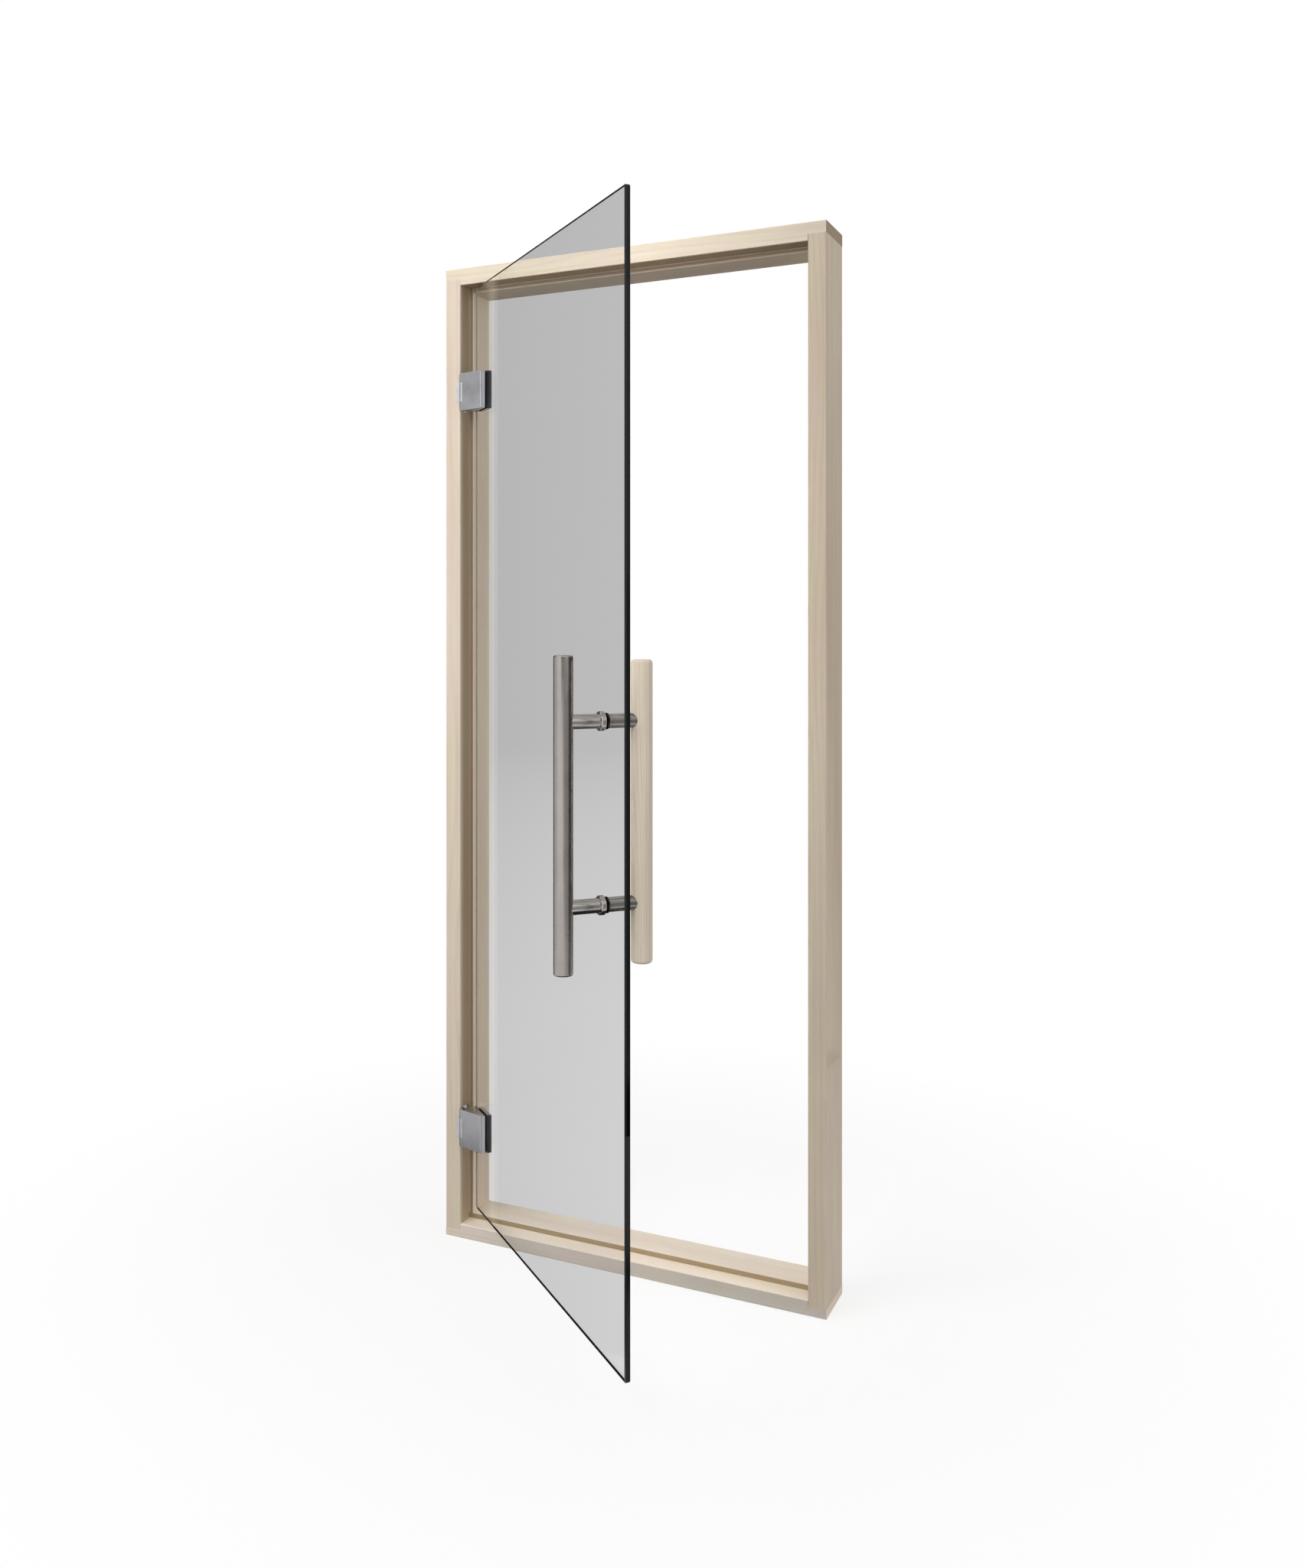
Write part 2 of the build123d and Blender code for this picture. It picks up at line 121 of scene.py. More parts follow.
def sum_of(tree, *weighted):
    """Weighted sum of sockets, given as (socket, weight) pairs."""
    parts = [calculate(tree, "MULTIPLY", socket, weight) for socket, weight in weighted]
    total = parts[0]
    for part in parts[1:]:
        total = calculate(tree, "ADD", total, part)
    return total


# Cream, rose and tan of the aspen, and the tone of all end grain.
ASPEN_TONES = ((0.86, 0.775, 0.60, 1), (0.87, 0.735, 0.625, 1), (0.67, 0.535, 0.39, 1))
# Painted shade: the latch jamb's tones are a darker copy of the aspen's, for light falling off toward the
# latch side.
LATCH_JAMB_SHADED_TONES = ((0.62, 0.545, 0.41, 1), (0.63, 0.515, 0.43, 1), (0.47, 0.37, 0.265, 1))
# Painted light: the head rail's and the sill's tones are lighter copies, as if more brightly lit.
HEAD_RAIL_LIT_TONES = ((0.92, 0.83, 0.65, 1), (0.93, 0.79, 0.675, 1), (0.72, 0.58, 0.425, 1))
SILL_LIT_TONES = ((0.94, 0.865, 0.71, 1), (0.95, 0.83, 0.74, 1), (0.80, 0.665, 0.51, 1))
ASPEN_END = (0.40, 0.28, 0.17, 1)
END_SQUARENESS = 0.7
RING_WIDTH = 0.0055
RING_WANDER = 0.045


def planed_aspen(name, length_axis, pith, shift, tones, painted_shade_ranges=(), painted_shade_tone=None, end_weight=0.22,
                 ring_width=RING_WIDTH, painted_shade_falloff=None):
    """Growth rings, long fibres and soft clouds of cream and rose, running along one axis of the board.

    pith is the middle of the rings across the board, and shift slides the pattern along it.
    Shade ranges list (axis, place where it starts, place where it is full) of a face given painted shade,
    and the shade tone multiplies the wood there.
    A falloff of (axis, start, end, share) darkens the board's tone to that share along the axis, as painted
    shade.
    """
    material, tree, output = new_finish(name)
    coordinates = put(tree, "ShaderNodeTexCoord").outputs
    axes = put(tree, "ShaderNodeSeparateXYZ", {0: coordinates["Object"]}).outputs
    order = {Z: (X, Y, Z), X: (Y, Z, X)}[length_axis]
    board = put(tree, "ShaderNodeCombineXYZ", {i: axes[axis] for i, axis in enumerate(order)}).outputs[0]
    placed = calculate_vector(tree, "ADD", board, (-pith[0], -pith[1], shift))["Vector"]

    wander = stretched_noise(tree, placed, scale=2.6, stretch=0.45, detail=1.0)
    flat = calculate_vector(tree, "MULTIPLY", placed, (1, 1, 0))["Vector"]
    radius = calculate_vector(tree, "LENGTH", flat)["Value"]
    bent = sum_of(tree, (radius, 1 / ring_width), (wander, RING_WANDER / ring_width))
    year = calculate(tree, "FRACT", bent)
    latewood = ramp(tree, year, (0.0, 0.05), (0.55, 0.25), (0.84, 0.9), (1.0, 0.05))
    fibre = stretched_noise(tree, placed, scale=950, stretch=0.012, detail=3.0)
    cloud = stretched_noise(tree, placed, scale=9, stretch=0.22, detail=3.0)
    streak = stretched_noise(tree, placed, scale=90, stretch=0.012)
    blush = stretched_noise(tree, placed, scale=34, stretch=0.10)

    cream, rose, tan = tones
    warmth = sum_of(tree, (latewood, 0.11), (fibre, 0.20), (cloud, 0.42), (streak, 0.32))
    pale = mix_colours(tree, remap(tree, blush, low=0.38, high=0.62), cream, rose)
    side = mix_colours(tree, remap(tree, warmth, low=0.40, high=0.80), pale, tan)
    facing = put(tree, "ShaderNodeSeparateXYZ", {0: coordinates["Normal"]}).outputs[order[2]]
    end_face = calculate(tree, "GREATER_THAN", calculate(tree, "ABSOLUTE", facing), END_SQUARENESS)
    colour = mix_colours(tree, calculate(tree, "MULTIPLY", end_face, end_weight), side, ASPEN_END)
    # Painted shade: the listed faces are darkened by the shade tone.
    if painted_shade_ranges:
        depth = 1.0
        for axis, start, full in painted_shade_ranges:
            depth = calculate(tree, "MULTIPLY", depth, remap(tree, axes[axis], start, full))
        colour = mix_colours(tree, depth, colour, painted_shade_tone, blend_type="MULTIPLY")
    # Painted shade: the board darkens along an axis, for light that falls off.
    if painted_shade_falloff:
        axis, start, end, share = painted_shade_falloff
        fall = remap(tree, axes[axis], start, end, to_low=1.0, to_high=share)
        colour = put(tree, "ShaderNodeVectorMath", {0: colour, "Scale": fall}, operation="SCALE").outputs[0]

    relief = sum_of(tree, (fibre, 0.7), (latewood, 0.3))
    bump = put(tree, "ShaderNodeBump", {"Strength": 0.22, "Distance": 0.0004, "Height": relief})
    sheen = remap(tree, fibre, low=0.3, high=0.7, to_low=0.48, to_high=0.66)
    surface = put(tree, "ShaderNodeBsdfPrincipled",
                  {"Base Color": colour, "Roughness": sheen, "Normal": bump.outputs[0], "IOR": 1.42})
    tree.links.new(surface.outputs[0], output.inputs[0])
    return material


def dress(material, *names):
    """Gives a finish to frame nodes whose shape stays."""
    for name in names:
        node[name].data.materials.clear()
        node[name].data.materials.append(material)


def at_face(axis, place, inward, start=0.0015, full=0.0003):
    """Range of painted shade on the face at a place; inward is +1 or -1, the way to the wood behind the
    face.
    """
    return axis, place + inward * start, place + inward * full


rebate_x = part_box("hinge_jamb")[1].x
head_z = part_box("head_rail")[0].z
front_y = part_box("hinge_jamb")[0].y
# Painted shade: the rebate walls, the head rail's underside and the sill's front are darkened where they lie
# in shade.
REBATE_PAINTED_SHADE = (0.605, 0.552, 0.468, 1)
HEAD_UNDERSIDE_PAINTED_SHADE = (0.46, 0.39, 0.31, 1)
SILL_FRONT_PAINTED_SHADE = (0.65, 0.665, 0.70, 1)
# Ranges of painted shade: the rebate, the head's underside, the sill's front, and the head rail's falloff.
into_rebate = (Y, front_y, front_y + 0.012)
into_head = (Y, front_y, front_y + 0.004)
along_sill = (X, -0.40, 0.15)
along_head = (X, 0.05, 0.38, 0.76)
dress(planed_aspen("hinge_jamb_aspen", Z, pith=(-0.31, 0.28), shift=1.7, tones=ASPEN_TONES,
                   painted_shade_ranges=(at_face(X, rebate_x, -1), into_rebate), painted_shade_tone=REBATE_PAINTED_SHADE), "hinge_jamb")
dress(planed_aspen("latch_jamb_aspen", Z, pith=(0.52, 0.21), shift=4.1, tones=LATCH_JAMB_SHADED_TONES,
                   painted_shade_ranges=(at_face(X, -rebate_x, 1), into_rebate), painted_shade_tone=REBATE_PAINTED_SHADE), "latch_jamb")
# The head rail's end grain takes the full end tone: partly real end grain, partly painted shade on that
# side.
dress(planed_aspen("head_rail_aspen", X, pith=(0.17, 2.06), shift=3.9, tones=HEAD_RAIL_LIT_TONES,
                   painted_shade_ranges=(at_face(Z, head_z, 1), into_head), painted_shade_tone=HEAD_UNDERSIDE_PAINTED_SHADE,
                   end_weight=1.0, painted_shade_falloff=along_head), "head_rail")
dress(planed_aspen("sill_aspen", X, pith=(-0.20, -0.14), shift=2.9, tones=SILL_LIT_TONES,
                   painted_shade_ranges=(at_face(Y, front_y, 1, start=0.0012), along_sill), painted_shade_tone=SILL_FRONT_PAINTED_SHADE), "sill")


# Stop laths and raised tread, planted behind the leaf to form the rebate.
# Thin aspen strips, pinned and glued, with a groove down the front for the seal.
# Painted shade: the head stop's tones are a darker copy of the aspen's, for the shade under the head rail.
HEAD_STOP_SHADED_TONES = ((0.69, 0.61, 0.47, 1), (0.70, 0.58, 0.49, 1), (0.54, 0.42, 0.30, 1))
STEP_TONES = ((0.86, 0.785, 0.645, 1), (0.87, 0.755, 0.665, 1), (0.68, 0.56, 0.43, 1))
# Painted shade: the riser of the raised tread is darkened as if in shade.
RISER_PAINTED_SHADE = (0.46, 0.39, 0.275, 1)
step_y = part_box("sill_step")[0].y
dress(planed_aspen("hinge_stop_aspen", Z, pith=(-0.47, -0.11), shift=9.4, tones=ASPEN_TONES),
      "hinge_stop")
dress(planed_aspen("latch_stop_aspen", Z, pith=(0.26, 0.19), shift=3.3, tones=ASPEN_TONES),
      "latch_stop")
dress(planed_aspen("head_stop_aspen", X, pith=(0.11, 1.82), shift=5.8, tones=HEAD_STOP_SHADED_TONES),
      "head_stop")
dress(planed_aspen("sill_step_aspen", X, pith=(0.25, 0.30), shift=8.2, tones=STEP_TONES,
                   painted_shade_ranges=(at_face(Y, step_y, 1, start=0.0006, full=0.0001),), painted_shade_tone=RISER_PAINTED_SHADE), "sill_step")


# Seals: tan rubber strip pressed into the groove of each stop.
# Soft extruded rubber with a dull skin, marked by faint draw lines along its length.
DUST_LIFT = 0.06
DUST_GAIN = 1.5


def moulded_rubber(name, colour, drawn_out=(1, 1, 1), wear=0.35, index=1.5):
    """Dull rubber with a fine skin and a dusting of lighter wear."""
    material, tree, output = new_finish(name)
    place = put(tree, "ShaderNodeTexCoord").outputs["Object"]
    drawn = calculate_vector(tree, "MULTIPLY", place, drawn_out)["Vector"]
    skin = put(tree, "ShaderNodeTexNoise", {"Vector": drawn, "Scale": 900.0, "Detail": 2.0}).outputs[0]
    dust = put(tree, "ShaderNodeTexNoise", {"Vector": drawn, "Scale": 45.0, "Detail": 4.0}).outputs[0]
    pale = tuple(min(1.0, DUST_LIFT + DUST_GAIN * c) for c in colour[:3]) + (1,)
    tint = mix_colours(tree, remap(tree, dust, low=0.45, high=0.75, to_high=wear), colour, pale)
    dull = remap(tree, skin, low=0.3, high=0.7, to_low=0.55, to_high=0.75)
    bump = put(tree, "ShaderNodeBump", {"Strength": 0.2, "Distance": 0.0002, "Height": skin})
    surface = put(tree, "ShaderNodeBsdfPrincipled",
                  {"Base Color": tint, "Roughness": dull, "Normal": bump.outputs[0], "IOR": index})
    tree.links.new(surface.outputs[0], output.inputs[0])
    return material


SEAL_TAN = (0.36, 0.27, 0.18, 1)
dress(moulded_rubber("upright_seal_rubber", SEAL_TAN, (1, 1, 0.03)), "hinge_seal", "latch_seal")
dress(moulded_rubber("head_seal_rubber", SEAL_TAN, (0.03, 1, 1)), "head_seal")


# Hinge plates and pins, on the hinge jamb.
# Zinc castings plated satin nickel, let in flush and held by four countersunk screws each.
GRAIN_SHADE = 0.80


def satin_metal(name, colour, roughness, brush=(1, 1, 1), brush_scale=700.0, relief=0.05, grain_share=0.6):
    """Plated or brushed metal: fine grain, soft smudges and a faint unevenness."""
    material, tree, output = new_finish(name)
    place = put(tree, "ShaderNodeTexCoord").outputs["Object"]
    drawn = calculate_vector(tree, "MULTIPLY", place, brush)["Vector"]
    grain = put(tree, "ShaderNodeTexNoise",
                {"Vector": drawn, "Scale": brush_scale, "Detail": 3.0, "Roughness": 0.6}).outputs[0]
    smudge = put(tree, "ShaderNodeTexNoise", {"Vector": place, "Scale": 28.0, "Detail": 4.0}).outputs[0]
    uneven = sum_of(tree, (grain, grain_share), (smudge, 1 - grain_share))
    darker = tuple(GRAIN_SHADE * c for c in colour[:3]) + (1,)
    tint = mix_colours(tree, remap(tree, uneven, low=0.35, high=0.65), darker, colour)
    gloss = remap(tree, uneven, low=0.35, high=0.65, to_low=roughness[0], to_high=roughness[1])
    bump = put(tree, "ShaderNodeBump", {"Strength": relief, "Distance": 0.0001, "Height": grain})
    surface = put(tree, "ShaderNodeBsdfPrincipled",
                  {"Base Color": tint, "Metallic": 1.0, "Roughness": gloss, "Normal": bump.outputs[0]})
    tree.links.new(surface.outputs[0], output.inputs[0])
    return material


SHARP_ANGLE = math.radians(38)


def place_piece(bm, name, body, material, turn=None):
    """Makes a mesh piece that rides on a body, after moving it to its place in the frame."""
    if turn is not None:
        bmesh.ops.transform(bm, matrix=turn, verts=bm.verts)
    bmesh.ops.recalc_face_normals(bm, faces=bm.faces)
    mesh = bpy.data.meshes.new(name)
    bm.to_mesh(mesh)
    bm.free()
    mesh.shade_smooth()
    mesh.set_sharp_from_angle(angle=SHARP_ANGLE)
    mesh.materials.append(material)
    piece = bpy.data.objects.new(name, mesh)
    bpy.context.scene.collection.objects.link(piece)
    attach(piece, body)
    return piece


HEAD_TAPER = 0.82
HEAD_DEPTH_SHARE = 0.35
SOCKET_TAPER = 0.92
HEAD_SIDES = 36
SCREW_PROUD = 0.0003


def countersunk_screw(radius, socket_radius, sides, depth):
    """Screw head lying flush in the plane z=0, facing +Z, with a driver socket."""
    bm = bmesh.new()
    rim = bmesh.ops.create_circle(bm, segments=HEAD_SIDES, radius=radius)["verts"]
    low = bmesh.ops.create_circle(bm, segments=HEAD_SIDES, radius=radius * HEAD_TAPER)["verts"]
    bmesh.ops.translate(bm, vec=(0, 0, -radius * HEAD_DEPTH_SHARE), verts=low)
    socket = bmesh.ops.create_circle(bm, segments=sides, radius=socket_radius)["verts"]
    floor = bmesh.ops.create_circle(bm, segments=sides, radius=socket_radius * SOCKET_TAPER)["verts"]
    bmesh.ops.translate(bm, vec=(0, 0, -depth), verts=floor)

    def loop(verts):
        chosen = set(verts)
        return [e for e in bm.edges if e.verts[0] in chosen and e.verts[1] in chosen]

    bmesh.ops.bridge_loops(bm, edges=loop(rim) + loop(low))
    bmesh.ops.bridge_loops(bm, edges=loop(socket) + loop(floor))
    bmesh.ops.bridge_loops(bm, edges=loop(rim) + loop(socket))
    bmesh.ops.contextual_create(bm, geom=loop(floor))
    bmesh.ops.contextual_create(bm, geom=loop(low))
    return bm


NICKEL = (0.69, 0.693, 0.727, 1)
# Painted light: the jamb plates' nickel is a lighter copy of the clamps' satin nickel, for their brightly
# lit knuckles.
LIT_NICKEL = (0.80, 0.805, 0.83, 1)
BRIGHT_STEEL = (0.50, 0.50, 0.50, 1)
satin_nickel = satin_metal("satin_nickel", NICKEL, (0.26, 0.36), relief=0.02, grain_share=0.2)
bright_steel = satin_metal("bright_pin_steel", BRIGHT_STEEL, (0.16, 0.28), brush=(1, 1, 0.02))
lit_nickel = satin_metal("lit_nickel", LIT_NICKEL, (0.24, 0.34), relief=0.02, grain_share=0.2)
dress(lit_nickel, "lower_hinge_jamb_plate", "upper_hinge_jamb_plate")
dress(bright_steel, "lower_hinge_pin", "upper_hinge_pin")

PLATE_SCREW_FROM_EDGE = 0.011
PLATE_SCREW_FROM_BACK = 0.0088
for level in ("lower", "upper"):
    low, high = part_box(level + "_hinge_jamb_plate")
    depths = (front_y + PLATE_SCREW_FROM_EDGE, high.y - PLATE_SCREW_FROM_BACK)
    heights = (low.z + PLATE_SCREW_FROM_EDGE, high.z - PLATE_SCREW_FROM_EDGE)
    seats = [(rebate_x + SCREW_PROUD, y, z) for y in depths for z in heights]
    for count, seat in enumerate(seats, start=1):
        screw = countersunk_screw(radius=0.0042, socket_radius=0.0018, sides=4, depth=0.0015)
        turn = Matrix.Translation(seat) @ Matrix.Rotation(math.pi / 2, 4, "Y")
        place_piece(screw, f"{level}_jamb_plate_screw_{count}", "frame", bright_steel, turn)


# Leaf: one sheet of 8 mm grey glass, its edges ground and its arrises broken before toughening.
# The faces are clear and even; looked at end-on the sheet is so deep that it reads black.
swing = frame["joints"][0]
PIN = Vector(swing["pos_m"])
SHUT_ANGLE = math.radians(-swing["range_deg"][0])
TO_REST = Matrix.Translation(PIN) @ Matrix.Rotation(-SHUT_ANGLE, 4, "Z") @ Matrix.Translation(-PIN)
TO_SHUT = TO_REST.inverted()
LEAF_NORMAL = TO_REST.to_3x3() @ Vector((0, 1, 0))


def shut_box(name):
    """Lowest and highest corner of a leaf node as if the leaf were shut."""
    corners = [TO_SHUT @ v.co for v in node[name].data.vertices]
    low = Vector([min(c[i] for c in corners) for i in range(3)])
    high = Vector([max(c[i] for c in corners) for i in range(3)])
    return low, high


leaf_low, leaf_high = shut_box("glass_leaf")
FREE_EDGE_DARK = 0.0060
TOP_EDGE_DARK = 0.0004
FOOT_EDGE_DARK = 0.0016
HINGE_EDGE_CLEAR = 0.004
LEAF_BORDERS = (
    (X, leaf_high.x - FREE_EDGE_DARK, "GREATER_THAN"),
    (Z, leaf_high.z - TOP_EDGE_DARK, "GREATER_THAN"),
    (Z, leaf_low.z + FOOT_EDGE_DARK, "LESS_THAN"),
)
FACE_SQUARENESS = 0.93
EDGE_SQUARENESS = 0.4
GLASS_TINT = (0.97, 0.973, 0.973, 1)
GLASS_SHADOW = (0.96, 0.96, 0.96, 1)
# Real glass has about 1.5; less keeps the pane as clear at a flat angle as it is in the photo.
GLASS_INDEX = 1.18
GROUND_INDEX = 1.35
ARRIS_BLACK = (0.014, 0.015, 0.015, 1)
EDGE_BLACK = (0.003, 0.0035, 0.0035, 1)
FROSTED_TAN = (0.36, 0.31, 0.255, 1)


def mix_surfaces(tree, factor, first, second):
    """A surface between two others."""
    return put(tree, "ShaderNodeMixShader", {0: factor, 1: first, 2: second}).outputs[0]


def ground_edge(tree, colour, roughness):
    """Ground glass, which shows nothing of what is behind it."""
    surface = put(tree, "ShaderNodeBsdfPrincipled",
                  {"Base Color": colour, "Roughness": roughness, "IOR": GROUND_INDEX})
    return surface.outputs[0]


def grey_glass(name):
    """Clear grey glass; its ground edges, and the sliver of face beside them, are painted black for the deep
    sheet that reads dark end-on.

    Only the edge at the hinges shows its frosted grinding, since it lies before the pale jamb.
    """
    material, tree, output = new_finish(name)
    coordinates = put(tree, "ShaderNodeTexCoord").outputs
    place = coordinates["Object"]
    across = calculate_vector(tree, "DOT_PRODUCT", coordinates["Normal"], tuple(LEAF_NORMAL))["Value"]
    squareness = calculate(tree, "ABSOLUTE", across)
    off_face = calculate(tree, "LESS_THAN", squareness, FACE_SQUARENESS)
    on_edge = calculate(tree, "LESS_THAN", squareness, EDGE_SQUARENESS)

    wave = put(tree, "ShaderNodeTexNoise", {"Vector": place, "Scale": 1.4, "Detail": 1.0}).outputs[0]
    ripple = put(tree, "ShaderNodeBump", {"Strength": 0.05, "Distance": 0.002, "Height": wave})
    face = put(tree, "ShaderNodeBsdfPrincipled",
               {"Base Color": GLASS_TINT, "Roughness": 0.0, "IOR": GLASS_INDEX,
                "Transmission Weight": 1.0, "Normal": ripple.outputs[0]})
    through = put(tree, "ShaderNodeBsdfTransparent", {0: GLASS_SHADOW})
    shadow_ray = put(tree, "ShaderNodeLightPath").outputs["Is Shadow Ray"]
    pane = mix_surfaces(tree, shadow_ray, face.outputs[0], through.outputs[0])

    grinding = put(tree, "ShaderNodeTexNoise", {"Vector": place, "Scale": 1600.0, "Detail": 2.0}).outputs[0]
    rough = remap(tree, grinding, low=0.3, high=0.7, to_low=0.28, to_high=0.5)
    polished = remap(tree, grinding, low=0.3, high=0.7, to_low=0.1, to_high=0.2)
    rim = mix_surfaces(tree, on_edge, ground_edge(tree, ARRIS_BLACK, rough),
                       ground_edge(tree, EDGE_BLACK, polished))

    turned = put(tree, "ShaderNodeVectorRotate",
                 {"Vector": place, "Center": tuple(PIN), "Angle": SHUT_ANGLE}, rotation_type="Z_AXIS")
    along = put(tree, "ShaderNodeSeparateXYZ", {0: turned.outputs[0]}).outputs
    # Painted black: the edges and a sliver of face at the free edge, top and foot.
    dark = off_face
    for axis, border, sense in LEAF_BORDERS:
        dark = calculate(tree, "MAXIMUM", dark, calculate(tree, sense, along[axis], border))
    free = calculate(tree, "GREATER_THAN", along[X], leaf_low.x + HINGE_EDGE_CLEAR)
    dark = calculate(tree, "MULTIPLY", dark, free)
    hinge_edge = calculate(tree, "SUBTRACT", off_face, free, use_clamp=True)
    sheet = mix_surfaces(tree, dark, pane, rim)
    sheet = mix_surfaces(tree, hinge_edge, sheet, ground_edge(tree, FROSTED_TAN, rough))
    tree.links.new(sheet, output.inputs[0])
    return material


dress(grey_glass("grey_toughened_glass"), "glass_leaf")


# Hinge clamps: satin nickel wedge outside, flat plate inside, thin black gaskets between.
# Two countersunk socket screws draw each back plate to the posts of its clamp; a black sheet over the
# plate's free end is painted shade, for the dark that the bare metal end shows in shade and dark reflection.
RUBBER_BLACK = (0.005, 0.005, 0.006, 1)
black_gasket = moulded_rubber("black_gasket_rubber", RUBBER_BLACK, wear=0.04, index=1.2)
SAME_POINT = 2e-6
SAME_PLANE = math.radians(0.4)
HARD_EDGE = math.radians(40)


def eased_copy(name, title, easing):
    """Stands for a hinge node of the leaf, with the same shape and its sharp edges eased."""
    bm = bmesh.new()
    bm.from_mesh(node[name].data)
    bmesh.ops.remove_doubles(bm, verts=bm.verts, dist=SAME_POINT)
    bmesh.ops.dissolve_limit(bm, angle_limit=SAME_PLANE, verts=bm.verts, edges=bm.edges)
    sharp = [e for e in bm.edges if e.is_manifold and e.calc_face_angle() > HARD_EDGE]
    bmesh.ops.bevel(bm, geom=sharp, offset=easing, offset_type="OFFSET", segments=3, profile=0.5,
                    affect="EDGES", clamp_overlap=True, material=-1)
    piece = place_piece(bm, title, "leaf", satin_nickel)
    even = piece.modifiers.new("even_shading", "WEIGHTED_NORMAL")
    even.keep_sharp = True
    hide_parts(name)


CLAMP_EASING = 0.0016
PLATE_EASING = 0.0006
for level in ("lower", "upper"):
    eased_copy(level + "_hinge_clamp", level + "_eased_clamp", CLAMP_EASING)
    eased_copy(level + "_hinge_back_plate", level + "_eased_back_plate", PLATE_EASING)
dress(black_gasket, "lower_hinge_outer_gasket", "upper_hinge_outer_gasket",
      "lower_hinge_inner_gasket", "upper_hinge_inner_gasket")

POST_SPACING = 0.040
POST_FROM_FREE_END = 0.025
LIP_THICKNESS = 0.0008
LIP_EASING = 0.0002
for level in ("lower", "upper"):
    low, high = shut_box(level + "_hinge_back_plate")
    middle = (low.z + high.z) / 2
    for side, z in (("low", middle - POST_SPACING / 2), ("high", middle + POST_SPACING / 2)):
        screw = countersunk_screw(radius=0.0062, socket_radius=0.0026, sides=6, depth=0.003)
        seat = Matrix.Translation((high.x - POST_FROM_FREE_END, high.y + SCREW_PROUD, z))
        turn = TO_REST @ seat @ Matrix.Rotation(-math.pi / 2, 4, "X")
        place_piece(screw, f"{level}_clamp_screw_{side}", "leaf", bright_steel, turn)
    # Painted shade: a black sheet over the back plate's free end, where the bare metal end only looks black.
    lip = bmesh.new()
    bmesh.ops.create_cube(lip, size=1.0)
    span = Vector((LIP_THICKNESS, high.y - low.y, high.z - low.z))
    bmesh.ops.scale(lip, vec=span, verts=lip.verts)
    bmesh.ops.bevel(lip, geom=lip.edges, offset=LIP_EASING, offset_type="OFFSET", segments=2, profile=0.5,
                    affect="EDGES", clamp_overlap=True, material=-1)
    seat = Matrix.Translation((high.x + LIP_THICKNESS / 2, (low.y + high.y) / 2, middle))
    place_piece(lip, f"{level}_painted_shade_lip", "leaf", black_gasket, TO_REST @ seat)


# Outside handle: brushed stainless tube with welded ends, on two turned standoffs.
# Each standoff is one turning: a shank coped to the tube, a collar, and the stud through the glass.
TURNED_STEPS = 96
ROUNDING_STEPS = 6
JOINED_AT_AXIS = 1e-6


def lathe(profile):
    """Turns a half section of (radius, height) points about the Z axis."""
    bm = bmesh.new()
    points = [bm.verts.new((radius, 0, height)) for radius, height in profile]
    edges = [bm.edges.new(pair) for pair in zip(points, points[1:])]
    bmesh.ops.spin(bm, geom=points + edges, cent=(0, 0, 0), axis=(0, 0, 1), dvec=(0, 0, 0),
                   angle=math.tau, steps=TURNED_STEPS, use_merge=True)
    bmesh.ops.remove_doubles(bm, verts=bm.verts, dist=JOINED_AT_AXIS)
    return bm


def rounded_corner(radius, height, rounding, upward):
    """Points of a quarter round at the rim of a turned end."""
    points = []
    for i in range(ROUNDING_STEPS + 1):
        turn = math.pi / 2 * i / ROUNDING_STEPS
        out = radius - rounding + rounding * math.cos(turn)
        up = rounding * (math.sin(turn) - 1)
        points.append((out, height + up if upward else height - up))
    return points


def turned_bar(low, high, rounding):
    """Upright round bar filling a box, with rounded ends."""
    radius = (high.x - low.x) / 2
    top = rounded_corner(radius, high.z, rounding, True)
    bottom = rounded_corner(radius, low.z, rounding, False)
    bm = lathe([(0, low.z)] + bottom[::-1] + top + [(0, high.z)])
    bmesh.ops.translate(bm, vec=((low.x + high.x) / 2, (low.y + high.y) / 2, 0), verts=bm.verts)
    return bm


STAINLESS = (0.50, 0.467, 0.435, 1)
TURNED_STAINLESS = (0.60, 0.565, 0.53, 1)
STEEL_BAR_ROUNDING = 0.0028
brushed_steel = satin_metal("brushed_bar_steel", STAINLESS, (0.20, 0.30), (1, 1, 0.012), brush_scale=1500.0)
turned_steel = satin_metal("turned_standoff_steel", TURNED_STAINLESS, (0.17, 0.26))
low, high = shut_box("outside_bar")
steel_bar = place_piece(turned_bar(low, high, STEEL_BAR_ROUNDING), "brushed_outside_bar", "leaf",
                        brushed_steel, TO_REST)
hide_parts("outside_bar")
dress(turned_steel, "lower_outer_standoff", "upper_outer_standoff")


# Washers: thin black rubber rings that keep the metal off the glass.
# Punched from sheet, one under each collar and one under each inner standoff.
dress(black_gasket, "lower_outer_washer", "upper_outer_washer", "lower_inner_washer", "upper_inner_washer")


